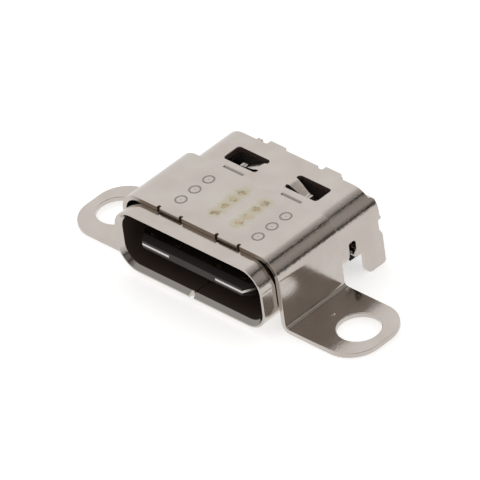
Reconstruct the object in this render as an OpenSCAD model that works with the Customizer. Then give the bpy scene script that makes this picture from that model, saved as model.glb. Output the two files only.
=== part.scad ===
// Type-C receptacle with a welded screw strap.
// Origin: middle of the mouth, on the plug's axis. +Y runs into the socket, +Z is up.
// Thin sheet parts are drawn the way they are stamped: a bent section, then the blank's outline.

/* [Mouth] */
// Width of the opening that takes the plug
opening_w = 8.34; // [8.30:0.01:8.40]
// Height of the opening
opening_h = 2.6; // [2.54:0.01:2.66]
// Corner radius of the opening
opening_r = 0.85; // [0.75:0.01:0.95]
// Lead-in chamfer inside the mouth
mouth_chamfer = 0.2; // [0.15:0.01:0.22]
// Edge break outside the mouth
mouth_break = 0.03; // [0.02:0.01:0.06]

/* [Shell] */
// Sheet thickness of the shell
shell_sheet = 0.3; // [0.26:0.01:0.34]
// Length of the shell at the middle of its rear edge
shell_len = 7.38; // [7.30:0.01:7.50]
// Length of the open rear, from the side slots' front edge to the shell's rear edge
rear_len = 1.92; // [1.80:0.01:2.00]
// How far the rear edge steps back beside the carrier tabs
shoulder_step = 0.12; // [0.05:0.01:0.2]
// Width of the seam along the underside
seam_gap = 0.04; // [0.02:0.01:0.08]
// Length of the dovetail that locks the seam
dovetail_len = 1.1; // [0.8:0.05:1.4]
// Width of the dovetail, across the seam
dovetail_w = 0.7; // [0.5:0.05:0.9]
// Width of the notch that opens the seam at the mouth
seam_notch_w = 0.28; // [0.2:0.01:0.4]
// Depth of the notch that opens the seam at the mouth
seam_notch_d = 0.22; // [0.1:0.01:0.3]
// Shift of that notch to the left of the seam
seam_notch_shift = 0.1; // [0.0:0.01:0.13]

/* [Shell windows] */
// Distance from the middle to a window's inner edge
window_x = 0.88; // [0.75:0.01:1.0]
// Window width
window_w = 1.92; // [1.7:0.01:2.1]
// Distance from a window's rear edge to the shell's rear edge
window_setback = 0.96; // [0.9:0.01:1.0]
// Window depth, front to rear
window_d = 1.02; // [0.95:0.01:1.1]
// Corner radius of a window
window_r = 0.16; // [0.08:0.01:0.24]
// Slit between a spring finger and the window's front edge
finger_slit = 0.2; // [0.12:0.01:0.26]
// Finger width at its root
finger_root_w = 0.6; // [0.5:0.01:0.7]
// Finger width at its tip
finger_tip_w = 0.34; // [0.28:0.01:0.4]
// Length of the finger's straight middle
finger_len = 0.78; // [0.6:0.01:0.9]
// Length of the finger's upturned tip
finger_tip_len = 0.2; // [0.1:0.01:0.3]
// How steeply the finger dips towards the plug
finger_dip = 21; // [14:1:24]
// How steeply its tip turns up again
finger_lift = 12; // [4:1:20]
// Centre line radius of the bend at the finger's root
finger_root_r = 0.4; // [0.35:0.01:0.5]
// Centre line radius of the finger's belly
finger_belly_r = 0.35; // [0.3:0.01:0.5]

/* [Shell rear] */
// Height of the slots' upper end, from the plug's axis
slot_top = -0.07; // [-0.15:0.01:0.0]
// Width of a side slot
slot_w = 0.41; // [0.3:0.01:0.5]
// Wall's lower edge between slot and leg, below the plug's axis
wall_drop = 1.0; // [0.9:0.01:1.1]
// Leg width
leg_w = 1.2; // [1.0:0.01:1.3]
// How far a leg reaches below the board face
leg_reach = 0.7; // [0.5:0.01:0.9]
// How far a leg stands out behind the shell's rear edge
leg_overhang = 0.16; // [0.08:0.01:0.24]
// Rounding at a leg's front tip
leg_front_r = 0.36; // [0.2:0.01:0.45]
// Rounding at a leg's rear tip
leg_rear_r = 0.16; // [0.08:0.01:0.3]
// How far the side tabs stand out behind the shell's rear edge
side_tab_out = 0.12; // [0.05:0.01:0.2]
// Width of a carrier tab on the rear edge
carrier_w = 0.92; // [0.7:0.01:1.1]
// How far a carrier tab stands out
carrier_out = 0.15; // [0.08:0.01:0.2]
// Distance between the two carrier tabs
carrier_pitch = 3.34; // [3.2:0.01:3.5]
// Shift of the pair of carrier tabs to the right
carrier_shift = 0.21; // [0.1:0.01:0.3]
// Width of the notch beside each carrier tab
carrier_notch_w = 0.32; // [0.2:0.01:0.4]
// Depth of the notch beside each carrier tab
carrier_notch_d = 0.18; // [0.1:0.01:0.22]

/* [Strap] */
// Sheet thickness of the strap
strap_sheet = 0.25; // [0.2:0.01:0.28]
// Distance from the mouth to the strap's front edge
strap_front = 0.87; // [0.8:0.01:1.0]
// Strap length, front to rear
strap_len = 3.81; // [3.7:0.01:3.9]
// Clearance between the strap's walls and the shell
strap_gap = 0.03; // [0.01:0.01:0.06]
// Inside radius of the strap's upper bends
strap_bend_r = 0.8; // [0.7:0.01:0.9]
// Inside radius of the bends to the ears
ear_bend_r = 0.2; // [0.1:0.01:0.25]
// Seating face of the ears, below the plug's axis
ear_drop = 1.9; // [1.85:0.01:2.0]
// Distance from a screw hole's centre to the ear's tip
hole_edge = 1.525; // [1.45:0.005:1.6]
// Corner radius of an ear
ear_corner_r = 1.48; // [1.2:0.01:1.7]
// Distance between the two screw holes
hole_pitch = 14.65; // [14.4:0.05:14.8]
// Screw hole diameter
hole_d = 2.0; // [1.8:0.05:2.2]
// Distance from the strap's front edge to the screw holes
hole_setback = 1.93; // [1.85:0.01:2.0]
// Distance from a screw hole to the small pip beside it
pip_offset = 1.575; // [1.5:0.005:1.65]
// Diameter of the pip
pip_d = 0.26; // [0.2:0.01:0.3]
// Height of the pip
pip_h = 0.06; // [0.03:0.01:0.08]
// Distance from the middle to each lock tab
lock_x = 1.75; // [1.6:0.01:1.9]
// Lock tab width
lock_w = 1.2; // [1.0:0.01:1.3]
// Relief notch width beside a lock tab
relief_w = 0.13; // [0.1:0.01:0.2]
// Relief notch depth
relief_d = 0.16; // [0.12:0.01:0.3]
// Open part of the shell's slot in front of a lock tab
lock_slot = 0.07; // [0.05:0.01:0.15]
// Distance from the middle to the left row of spot welds
weld_left_x = 1.96; // [1.9:0.01:2.0]
// Distance from the middle to the right row of spot welds
weld_right_x = 2.7; // [2.6:0.01:2.8]
// Distance from the strap's front edge to the middle weld of each row
weld_setback = 1.88; // [1.8:0.01:1.95]
// Distance between two spot welds in a row
weld_pitch = 0.88; // [0.8:0.01:1.0]
// Ring radius of a spot weld
weld_r = 0.26; // [0.2:0.01:0.3]
// Depth of a spot weld's ring
weld_depth = 0.02; // [0.01:0.005:0.04]
// Width of a spot weld's ring
weld_groove = 0.05; // [0.03:0.01:0.07]

/* [Tongue] */
// Tongue width
tongue_w = 6.69; // [6.6:0.01:6.8]
// Tongue thickness
tongue_t = 0.7; // [0.66:0.01:0.74]
// Setback of the tongue's tip from the mouth
tongue_tip = 0.2; // [0.15:0.01:0.4]
// Height of the blunt tip
tip_t = 0.38; // [0.3:0.01:0.44]
// Length of the slopes above and below the tip
tip_slope = 0.32; // [0.2:0.01:0.4]
// Length of the corner bevels, along the plug's axis
corner_len = 0.56; // [0.4:0.01:0.7]
// Width of the corner bevels
corner_w = 0.33; // [0.2:0.01:0.4]
// Length of the thick base of the tongue, in front of the housing
base_len = 1.5; // [1.4:0.01:1.6]
// Thickness of the base
base_t = 1.1; // [1.0:0.01:1.16]
// Width of the tongue's root inside the housing
root_w = 7.1; // [7.05:0.01:7.3]
// Thickness of the mid plate
plate_t = 0.12; // [0.1:0.01:0.2]
// Width of the plastic that covers the plate's front edge
plate_cover_w = 2.8; // [2.5:0.05:3.0]
// Thickness of the ground plates
ground_t = 0.1; // [0.08:0.01:0.14]
// Width of the ground plates
ground_w = 6.3; // [6.0:0.05:6.5]

/* [Housing] */
// Thickness of the housing, front to rear
housing_t = 0.7; // [0.65:0.01:0.75]
// Setback of the housing's rear face from the shell's rear edge
housing_setback = 0.23; // [0.2:0.01:0.28]
// Clearance between the insulators, the shell and the contacts
fit = 0.02; // [0.01:0.01:0.03]
// Chamfer along the housing's lower edges
housing_chamfer = 0.32; // [0.2:0.01:0.4]
// Length of the floor in front of the housing
floor_len = 0.46; // [0.3:0.01:0.8]

/* [Contacts] */
// Pitch of the contact places on the tongue
pitch = 0.5; // [0.48:0.01:0.52]
// Contact width on the tongue
blade_w = 0.25; // [0.2:0.01:0.28]
// Contact thickness
contact_t = 0.12; // [0.1:0.01:0.14]
// How far a contact stands proud of the tongue
contact_proud = 0.02; // [0.01:0.005:0.03]
// Setback of the power and ground contacts from the tip
first_mate = 0.46; // [0.4:0.01:0.6]
// Extra setback of the signal contacts
late_mate = 0.45; // [0.3:0.01:0.6]
// Width of one solder tail
tail_w = 0.28; // [0.2:0.01:0.28]
// Distance from the middle to a power contact pair's tails
power_tail_x = 2.4; // [2.3:0.01:2.45]
// Distance from the middle to a ground contact pair's tails
ground_tail_x = 3.2; // [3.1:0.01:3.22]
// How far the tails reach behind the housing
tail_out = 0.6; // [0.4:0.01:0.8]

/* [Hidden] */

$fn = 48;
over = 1;                 // overrun of cutting bodies
touch = 0.01;             // overlap of bodies that are joined

// Shell, worked out from the opening and the sheet
shell_w = opening_w + 2 * shell_sheet;
shell_h = opening_h + 2 * shell_sheet;
shell_r = opening_r + shell_sheet;
shell_top = shell_h / 2;
board_z = -shell_h / 2;   // face of the board that the tails stand on
tube_len = shell_len - rear_len;
window_y = shell_len - window_setback - window_d;
seam_flare = 0.12;        // slope of the dovetail's sides, along the seam

// Rear of the shell
leg_rear = shell_len + leg_overhang;
leg_front = leg_rear - leg_w;
leg_tip = board_z - leg_reach;
leg_root_r = 0.08;
shoulder_low = 0.75;      // slope behind the leg, from and to these depths below the axis
shoulder_high = 0.45;
slot_r = 0.12;
nose_r = 0.2;             // rounded nose at each slot's lower end
nose_out = 0.17;          // how far it reaches into the slot
side_tab_low = 0.04;
side_tab_high = 1.2;
side_burr_out = 0.08;     // burr at the side tab's lower end
side_burr_h = 0.17;
middle_half = 2.55;       // half width of the rear edge that stays at full length
coin_y_gap = 0.2;         // coined grooves, behind the strap
coin_w = 0.16;
coin_depth = 0.05;

// Strap
ear_span = hole_pitch + 2 * hole_edge;
strap_rear = strap_front + strap_len;
strap_mid = strap_front + strap_len / 2;
strap_x = shell_w / 2 + strap_gap + strap_sheet;
strap_top = shell_top + strap_sheet;
ear_top = strap_sheet - ear_drop;
hole_y = strap_front + hole_setback;
weld_rows = [-weld_left_x, weld_right_x];
weld_y = strap_front + weld_setback;
pip_x = hole_pitch / 2 - pip_offset;
tab_bend_r = 0.1;         // outside of the lock tab's bend

// Housing, tongue and contacts
housing_rear = shell_len - housing_setback;
cavity_d = housing_rear - housing_t;
base_y = cavity_d - base_len;
tip_x = tongue_w / 2 - corner_w;
base_h = base_t / 2;
leg_sink = 0.05;          // how deep the contacts' legs lie in the housing's rear face
leg_y = housing_rear - leg_sink - contact_t;   // front face of those legs
plate_stop = 0.3;         // how far the mid plate stops short of them
cover_d = 0.5;            // plastic over the middle of the mid plate's front edge
latch_y = 2.6;            // latch notches in the mid plate's sides
latch_len = 0.7;
latch_depth = 0.22;
blade_z = tongue_t / 2 + contact_proud - contact_t / 2;
jog_setback = 0.5;        // straight part of a contact inside the base, before its jog
jog_stop = 0.15;          // straight part between the jog and the leg
jog_start = base_y + jog_setback;
jog_end = leg_y - jog_stop;
tail_z = board_z + contact_t / 2;
contact_bend = 0.1;

// Contacts: name, place on the tongue, place of the tail, true if it mates first.
// The wide power and ground tails are two contacts side by side.
pair = (tail_w + fit) / 2;
upper_contacts = [
    ["contact_a1", 5.5 * pitch, ground_tail_x - pair, true],
    ["contact_a4", 2.5 * pitch, power_tail_x - pair, true],
    ["contact_a5", 1.5 * pitch, 2.5 * pitch, false],
    ["contact_a6", 0.5 * pitch, 0.5 * pitch, false],
    ["contact_a7", -0.5 * pitch, -0.5 * pitch, false],
    ["contact_a8", -1.5 * pitch, -2.5 * pitch, false],
    ["contact_a9", -2.5 * pitch, pair - power_tail_x, true],
    ["contact_a12", -5.5 * pitch, pair - ground_tail_x, true]
];
lower_contacts = [
    ["contact_b12", 5.5 * pitch, ground_tail_x + pair, true],
    ["contact_b9", 2.5 * pitch, power_tail_x + pair, true],
    ["contact_b8", 1.5 * pitch, 3.5 * pitch, false],
    ["contact_b7", 0.5 * pitch, 1.5 * pitch, false],
    ["contact_b6", -0.5 * pitch, -1.5 * pitch, false],
    ["contact_b5", -1.5 * pitch, -3.5 * pitch, false],
    ["contact_b4", -2.5 * pitch, -power_tail_x - pair, true],
    ["contact_b1", -5.5 * pitch, -ground_tail_x - pair, true]
];

// ---------- helpers ----------

// Extrude a section drawn in X and Z along +Y
module along_y(y, length) {
    translate([0, y + length, 0]) rotate([90, 0, 0]) linear_extrude(length) children();
}

// Extrude an outline drawn in Y and Z along +X
module along_x(x, length) {
    translate([x, 0, 0]) rotate([90, 0, 90]) linear_extrude(length) children();
}

module mirrored() {
    children();
    mirror([1, 0, 0]) children();
}

module rounded_rect(w, h, r) {
    square([w - 2 * r, h], center = true);
    square([w, h - 2 * r], center = true);
    for (x = [-1, 1], y = [-1, 1])
        translate([x * (w / 2 - r), y * (h / 2 - r)]) circle(r);
}

// Rounded rectangle along +Y that changes by grow on every side over its length.
// It starts at w + 2 grow and ends at w.
module flared(w, h, r, grow, length) {
    for (x = [-1, 1], z = [-1, 1])
        translate([x * (w / 2 - r), 0, z * (h / 2 - r)])
            rotate([-90, 0, 0]) cylinder(r1 = r + grow, r2 = r, h = length);
    along_x(r - w / 2, w - 2 * r)
        polygon([[0, -h / 2 - grow], [0, h / 2 + grow], [length, h / 2], [length, -h / 2]]);
    translate([0, 0, r - h / 2]) linear_extrude(h - 2 * r)
        polygon([[-w / 2 - grow, 0], [w / 2 + grow, 0], [w / 2, length], [-w / 2, length]]);
}

// Quarter of a bent sheet: inside radius r, thickness t, in the quadrant given by the signs
module bend(r, t, sx, sy) {
    intersection() {
        difference() {
            circle(r + t);
            circle(r);
        }
        scale([sx, sy]) square(r + t);
    }
}

// Strip of even width along a path, with mitred corners
function normal(p, i) =
    let (j = max(0, min(i, len(p) - 2)), d = p[j + 1] - p[j]) [-d[1], d[0]] / norm(d);
function mitre(p, i) =
    let (a = normal(p, i - 1), b = normal(p, i)) (a + b) / (1 + a * b);
module strip(p, w) {
    last = len(p) - 1;
    polygon(concat(
        [for (i = [0 : last]) p[i] + mitre(p, i) * w / 2],
        [for (i = [last : -1 : 0]) p[i] - mitre(p, i) * w / 2]
    ));
}
function arc(c, r, from, to, steps = 4) =
    [for (i = [0 : steps]) let (a = from + (to - from) * i / steps) c + r * [cos(a), sin(a)]];

// ---------- shell ----------

module shell_tube() {
    difference() {
        union() {
            flared(shell_w, shell_h, shell_r, -mouth_break, mouth_break);
            along_y(mouth_break, tube_len - mouth_break) rounded_rect(shell_w, shell_h, shell_r);
        }
        along_y(-over, tube_len + 2 * over) rounded_rect(opening_w, opening_h, opening_r);
        translate([0, -mouth_chamfer, 0])
            flared(opening_w, opening_h, opening_r, 2 * mouth_chamfer, 2 * mouth_chamfer);
    }
}

// Arch of the open rear: the tube's upper half with walls that run straight down
module arch_section() {
    difference() {
        union() {
            rounded_rect(shell_w, shell_h, shell_r);
            translate([-shell_w / 2, leg_tip]) square([shell_w, -leg_tip]);
        }
        rounded_rect(opening_w, opening_h, opening_r);
        translate([-opening_w / 2, leg_tip - over]) square([opening_w, over - leg_tip]);
    }
}

// Side walls, seen from the side
module wall_outline() {
    difference() {
        union() {
            translate([tube_len, -wall_drop])
                square([shell_len - tube_len, wall_drop + side_tab_high]);
            translate([tube_len, side_tab_high]) square([2 * rear_len, shell_top]);
            side_tab_outline();
            leg_outline();
            // Fillet at the leg's root
            difference() {
                translate([leg_front - leg_root_r, -wall_drop - leg_root_r])
                    square(2 * leg_root_r);
                translate([leg_front - leg_root_r, -wall_drop - leg_root_r])
                    circle(leg_root_r);
            }
        }
        slot_outline();
    }
    translate([tube_len + slot_w - nose_out + nose_r, -wall_drop + nose_r]) circle(nose_r);
}

// Stamping tab on the rear edge, with a small burr at its lower end
module side_tab_outline() {
    rise = side_tab_high - side_tab_low;
    translate([shell_len - over, side_tab_low]) polygon([
        [0, 0], [over + side_tab_out, 0], [over + side_tab_out, rise - side_tab_out],
        [over, rise], [0, rise]
    ]);
    translate([shell_len + side_tab_out, side_tab_low]) polygon([
        [-touch, 0], [side_burr_out / 2, 0], [side_burr_out, side_burr_h / 2],
        [side_burr_out / 2, side_burr_h], [-touch, side_burr_h]
    ]);
}

module leg_outline() {
    translate([leg_front, leg_tip + leg_front_r])
        square([leg_w, -leg_tip - leg_front_r - shoulder_low]);
    translate([leg_front + leg_front_r, leg_tip])
        square([leg_w - leg_front_r - leg_rear_r, leg_front_r]);
    translate([leg_rear - 2 * leg_rear_r, leg_tip + leg_rear_r])
        square([2 * leg_rear_r, leg_front_r]);
    translate([leg_front + leg_front_r, leg_tip + leg_front_r]) circle(leg_front_r);
    translate([leg_rear - leg_rear_r, leg_tip + leg_rear_r]) circle(leg_rear_r);
    // Slope from the leg's rear edge to the wall's
    polygon([
        [leg_front, -shoulder_low], [leg_rear, -shoulder_low],
        [shell_len, -shoulder_high], [leg_front, -shoulder_high]
    ]);
}

module slot_outline() {
    h = slot_top + wall_drop + over;
    translate([tube_len + slot_w / 2, slot_top - h / 2]) rounded_rect(slot_w, h, slot_r);
}

// Rear edge of the top, seen from above
module rear_outline() {
    translate([-shell_w / 2, 0]) square([shell_w, shell_len - shoulder_step]);
    difference() {
        union() {
            translate([-middle_half, 0]) square([2 * middle_half, shell_len]);
            for (s = [-1, 1]) translate([carrier_shift + s * carrier_pitch / 2, shell_len])
                polygon([
                    [-carrier_w / 2, -touch], [carrier_w / 2 + carrier_out, -touch],
                    [carrier_w / 2 + carrier_out, 0], [carrier_w / 2, carrier_out],
                    [-carrier_w / 2, carrier_out]
                ]);
        }
        for (s = [-1, 1])
            translate([
                carrier_shift + s * carrier_pitch / 2 - carrier_w / 2 - carrier_notch_w / 2,
                shell_len - carrier_notch_d + carrier_notch_w / 2
            ]) {
                circle(carrier_notch_w / 2);
                translate([-carrier_notch_w / 2, 0]) square([carrier_notch_w, over]);
            }
    }
}

module shell_rear() {
    intersection() {
        along_y(0, 2 * shell_len) arch_section();
        along_x(-shell_w / 2 - over, shell_w + 2 * over) wall_outline();
        union() {
            translate([-shell_w, 0, leg_tip - over])
                cube([2 * shell_w, 2 * shell_len, side_tab_high - leg_tip + over]);
            translate([0, 0, side_tab_high]) linear_extrude(shell_top) rear_outline();
        }
    }
}

module window_outline() {
    translate([window_x + window_w / 2, window_y + window_d / 2])
        rounded_rect(window_w, window_d, window_r);
}

// Spring finger rooted at the window's inner edge. It dips into the cavity, and its tip
// turns up again. Its path is the sheet's centre line, seen from the front.
module finger() {
    dip = [sin(finger_dip), cos(finger_dip)];
    lift = [cos(finger_lift), sin(finger_lift)];
    bent = arc([0, -finger_root_r], finger_root_r, 90, 90 - finger_dip);
    low = bent[len(bent) - 1] + finger_len * [dip[1], -dip[0]];
    belly = arc(low + finger_belly_r * dip, finger_belly_r, 270 - finger_dip, 270 + finger_lift, 8);
    end = belly[len(belly) - 1] + finger_tip_len * lift;
    path = concat([[-touch, 0]], bent, belly, [end]);
    front = window_y + finger_slit;
    translate([window_x, 0, 0]) intersection() {
        translate([0, 0, shell_top - shell_sheet / 2])
            along_y(front, finger_root_w) strip(path, shell_sheet);
        linear_extrude(shell_top) polygon([
            [-over, front], [end[0] + over, front],
            [end[0] + over, front + finger_tip_w - over * (finger_root_w - finger_tip_w) / end[0]],
            [end[0], front + finger_tip_w], [0, front + finger_root_w],
            [-over, front + finger_root_w]
        ]);
    }
}

// Seam along the underside with one dovetail, opened out at the mouth
module seam_outline() {
    y1 = (tube_len - dovetail_len) / 2;
    y2 = (tube_len + dovetail_len) / 2;
    strip([
        [0, -over], [0, y1 + seam_flare], [dovetail_w, y1],
        [dovetail_w, y2], [0, y2 - seam_flare], [0, tube_len + over]
    ], seam_gap);
    translate([-seam_notch_shift, seam_notch_d - seam_notch_w / 2]) {
        circle(seam_notch_w / 2);
        translate([-seam_notch_w / 2, -over]) square([seam_notch_w, over]);
    }
}

module shell() {
    color("#C4BDB6") {
        difference() {
            union() {
                shell_tube();
                shell_rear();
            }
            translate([0, 0, board_z - over]) linear_extrude(over + 2 * shell_sheet) seam_outline();
            mirrored() translate([0, 0, shell_top - 2 * shell_sheet]) linear_extrude(over)
                window_outline();
            mirrored() lock_slot();
            mirrored() coined_groove();
        }
        mirrored() finger();
    }
}

// Slot in the shell's top that takes a lock tab
module lock_slot() {
    translate([
        lock_x - lock_w / 2 - fit, strap_front - lock_slot, shell_top - 2 * shell_sheet
    ])
        cube([lock_w + 2 * fit, lock_slot + strap_sheet + 2 * fit, over]);
}

// Shallow groove with sloping sides, coined into the top just behind the strap
module coined_groove() {
    along_x(lock_x - lock_w / 2, lock_w) translate([strap_rear + coin_y_gap, shell_top])
        polygon([
            [0, 0], [coin_w / 2, -coin_depth], [coin_w, 0], [coin_w, over], [0, over]
        ]);
}

// ---------- strap ----------

// Right half of the hat section: top, bend, wall, bend, ear
module strap_half_section() {
    wall_in = strap_x - strap_sheet;
    translate([0, shell_top]) square([wall_in - strap_bend_r, strap_sheet]);
    translate([wall_in - strap_bend_r, shell_top - strap_bend_r])
        bend(strap_bend_r, strap_sheet, 1, 1);
    translate([wall_in, ear_top + ear_bend_r])
        square([strap_sheet, shell_top - strap_bend_r - ear_top - ear_bend_r]);
    translate([strap_x + ear_bend_r, ear_top + ear_bend_r])
        bend(ear_bend_r, strap_sheet, -1, -1);
    translate([strap_x + ear_bend_r, ear_top - strap_sheet])
        square([ear_span / 2 - strap_x - ear_bend_r, strap_sheet]);
}

// Lock tab: the strap's front edge bent down into the shell's slot
module lock_tab() {
    tab_low = shell_top - shell_sheet + fit;
    along_x(lock_x - lock_w / 2, lock_w) {
        translate([strap_front + tab_bend_r, strap_top - tab_bend_r]) circle(tab_bend_r);
        translate([strap_front + tab_bend_r, tab_low])
            square([strap_sheet - tab_bend_r, strap_top - tab_low]);
        translate([strap_front, tab_low]) square([tab_bend_r, strap_top - tab_bend_r - tab_low]);
    }
}

module relief_cuts() {
    for (s = [-1, 1])
        translate([
            lock_x + s * (lock_w + relief_w) / 2 - relief_w / 2, strap_front - over,
            shell_top - over
        ])
            cube([relief_w, over + relief_d, 2 * over]);
    // The flat top gives way to the tab's own bend
    translate([lock_x - lock_w / 2, strap_front - over, shell_top - over])
        cube([lock_w, over + tab_bend_r, 2 * over]);
}

module spot_weld() {
    rotate_extrude() translate([weld_r - weld_groove / 2, -weld_depth])
        square([weld_groove, over]);
}

module strap() {
    color("#C4BDB6") {
        difference() {
            intersection() {
                along_y(strap_front, strap_len) {
                    mirrored() strap_half_section();
                }
                translate([0, strap_mid, -2 * ear_drop]) linear_extrude(4 * ear_drop)
                    rounded_rect(ear_span, strap_len, ear_corner_r);
            }
            for (s = [-1, 1]) translate([s * hole_pitch / 2, hole_y, -ear_drop - over])
                cylinder(d = hole_d, h = 2 * over);
            mirrored() relief_cuts();
            for (x = weld_rows, k = [-1 : 1])
                translate([x, weld_y + k * weld_pitch, strap_top]) spot_weld();
        }
        mirrored() lock_tab();
        mirrored() translate([pip_x, hole_y, ear_top - touch])
            cylinder(d1 = pip_d, d2 = pip_d / 2, h = pip_h + touch);
    }
}

// ---------- insulators and plates ----------

// Tongue seen from above, with bevelled corners at the tip
module tongue_plan(length) {
    polygon([
        [-tip_x, tongue_tip], [tip_x, tongue_tip], [tongue_w / 2, tongue_tip + corner_len],
        [tongue_w / 2, length], [-tongue_w / 2, length], [-tongue_w / 2, tongue_tip + corner_len]
    ]);
}

// Tongue seen from the side: blunt tip, blade and thick base
module tongue_side() {
    t = tongue_t / 2;
    polygon([
        [tongue_tip, -tip_t / 2], [tongue_tip, tip_t / 2], [tongue_tip + tip_slope, t],
        [base_y, t], [base_y, base_h], [leg_y, base_h],
        [leg_y, -base_h], [base_y, -base_h], [base_y, -t], [tongue_tip + tip_slope, -t]
    ]);
}

// Mid plate seen from above: latch notches in its sides, plastic over the front's middle
module plate_plan() {
    difference() {
        tongue_plan(leg_y - plate_stop);
        translate([-plate_cover_w / 2, tongue_tip - over]) square([plate_cover_w, over + cover_d]);
        mirrored() translate([tongue_w / 2 - latch_depth, latch_y]) square([over, latch_len]);
    }
}

module mid_plate() {
    color("#B9B4AE") translate([0, 0, -plate_t / 2]) linear_extrude(plate_t) plate_plan();
}

// Ground plate on the tongue's base, with a lip down its front step
module ground_plate(side) {
    rise = base_h - tongue_t / 2;
    scale([1, 1, side]) {
        translate([-ground_w / 2, base_y - ground_t, base_h])
            cube([ground_w, cavity_d - fit - base_y + ground_t, ground_t]);
        translate([-ground_w / 2, base_y - ground_t, base_h - rise + contact_proud + fit])
            cube([ground_w, ground_t, rise - contact_proud - fit]);
    }
}

module ground_plate_upper() { color("#B9B4AE") ground_plate(1); }
module ground_plate_lower() { color("#B9B4AE") ground_plate(-1); }

module tongue() {
    color("#1B1715") difference() {
        intersection() {
            along_x(-root_w / 2, root_w) tongue_side();
            translate([0, 0, -base_t]) linear_extrude(2 * base_t) {
                tongue_plan(leg_y);
                translate([-root_w / 2, cavity_d]) square([root_w, leg_y - cavity_d]);
            }
        }
        mid_plate();
        for (c = upper_contacts) contact(c, 1);
        for (c = lower_contacts) contact(c, -1);
    }
}

// Housing across the rear, with a floor that closes the shell's open underside
module housing_section() {
    w = opening_w - 2 * fit;
    h = opening_h - 2 * fit;
    difference() {
        union() {
            rounded_rect(w, h, opening_r - fit);
            translate([-w / 2, board_z]) square([w, -board_z]);
        }
        mirrored() translate([w / 2, board_z]) rotate(45)
            square(housing_chamfer * sqrt(2), center = true);
        square([root_w + 2 * fit, base_t + 2 * fit], center = true);
    }
}

module housing() {
    floor_w = opening_w - 2 * fit - 2 * housing_chamfer;
    color("#1B1715") {
        difference() {
            union() {
                along_y(cavity_d, housing_rear - cavity_d) housing_section();
                translate([-floor_w / 2, cavity_d - floor_len, board_z])
                    cube([floor_w, floor_len + touch, shell_sheet]);
            }
            for (c = concat(upper_contacts, lower_contacts))
                translate([c[2] - tail_w / 2 - fit, leg_y - fit, board_z - over])
                    cube([tail_w + 2 * fit, over, over - board_z + base_h]);
        }
    }
}

// ---------- contacts ----------

// side is 1 for the upper row and -1 for the lower row
module contact(c, side) {
    x = c[1];
    start = tongue_tip + first_mate + (c[3] ? 0 : late_mate);
    z = side * blade_z;
    b = contact_bend;
    mid = leg_y + contact_t / 2;
    // Blade on the tongue, then a jog inside the base to the tail's place
    translate([0, 0, z - contact_t / 2]) linear_extrude(contact_t)
        polygon([
            [x - blade_w / 2, start], [x + blade_w / 2, start], [x + blade_w / 2, jog_start],
            [c[2] + tail_w / 2, jog_end], [c[2] + tail_w / 2, leg_y - b],
            [c[2] - tail_w / 2, leg_y - b], [c[2] - tail_w / 2, jog_end],
            [x - blade_w / 2, jog_start]
        ]);
    // Upright leg and tail
    along_x(c[2] - tail_w / 2, tail_w)
        strip(concat(
            [[leg_y - b - touch, z]],
            arc([mid - b, z - b], b, 90, 0),
            arc([mid + b, tail_z + b], b, 180, 270),
            [[housing_rear + tail_out, tail_z]]
        ), contact_t);
}

module contact_named(name) {
    color("#D9B45A") {
        for (c = upper_contacts) if (c[0] == name) contact(c, 1);
        for (c = lower_contacts) if (c[0] == name) contact(c, -1);
    }
}

// ---------- nodes ----------

shell();
strap();
housing();
tongue();
mid_plate();
ground_plate_upper();
ground_plate_lower();
contact_named("contact_a1");  // contact_a1
contact_named("contact_a4");  // contact_a4
contact_named("contact_a5");  // contact_a5
contact_named("contact_a6");  // contact_a6
contact_named("contact_a7");  // contact_a7
contact_named("contact_a8");  // contact_a8
contact_named("contact_a9");  // contact_a9
contact_named("contact_a12");  // contact_a12
contact_named("contact_b1");  // contact_b1
contact_named("contact_b4");  // contact_b4
contact_named("contact_b5");  // contact_b5
contact_named("contact_b6");  // contact_b6
contact_named("contact_b7");  // contact_b7
contact_named("contact_b8");  // contact_b8
contact_named("contact_b9");  // contact_b9
contact_named("contact_b12");  // contact_b12
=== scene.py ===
"""Looks for the plug socket: a drawn steel shell, a welded strap and the insulators inside."""

import math

import bpy
from mathutils import Matrix, Vector


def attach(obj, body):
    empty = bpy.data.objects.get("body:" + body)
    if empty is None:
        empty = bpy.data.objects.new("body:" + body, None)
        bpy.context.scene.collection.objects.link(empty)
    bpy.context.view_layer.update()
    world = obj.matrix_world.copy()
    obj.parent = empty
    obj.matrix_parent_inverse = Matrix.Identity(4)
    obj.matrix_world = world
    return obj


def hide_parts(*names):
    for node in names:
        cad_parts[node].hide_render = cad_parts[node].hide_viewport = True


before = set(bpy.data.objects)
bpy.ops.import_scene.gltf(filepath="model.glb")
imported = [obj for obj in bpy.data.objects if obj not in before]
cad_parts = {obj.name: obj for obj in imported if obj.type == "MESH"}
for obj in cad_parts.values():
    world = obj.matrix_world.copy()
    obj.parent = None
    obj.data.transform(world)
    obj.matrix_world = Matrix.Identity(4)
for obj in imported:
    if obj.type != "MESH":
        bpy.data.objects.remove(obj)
bpy.context.view_layer.update()

bl_info = {
    "name": "Plug socket looks",
    "version": (1, 0, 0),
    "blender": (4, 5, 0),
    "location": "View3D > Sidebar > Socket",
    "description": "Rounds the stamped edges of a plug socket and gives each piece its finish",
    "category": "Object",
}

MM = 0.001

# Short names for the node kinds that come back most
MATH = "ShaderNodeMath"
VECTOR = "ShaderNodeVectorMath"
NOISE = "ShaderNodeTexNoise"
RANGE = "ShaderNodeMapRange"
MIX = "ShaderNodeMix"
# Sockets of a colour mix: its share, its two colours, and the blend that comes out
SHARE, FIRST, SECOND, BLEND = 0, 6, 7, 2

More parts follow.
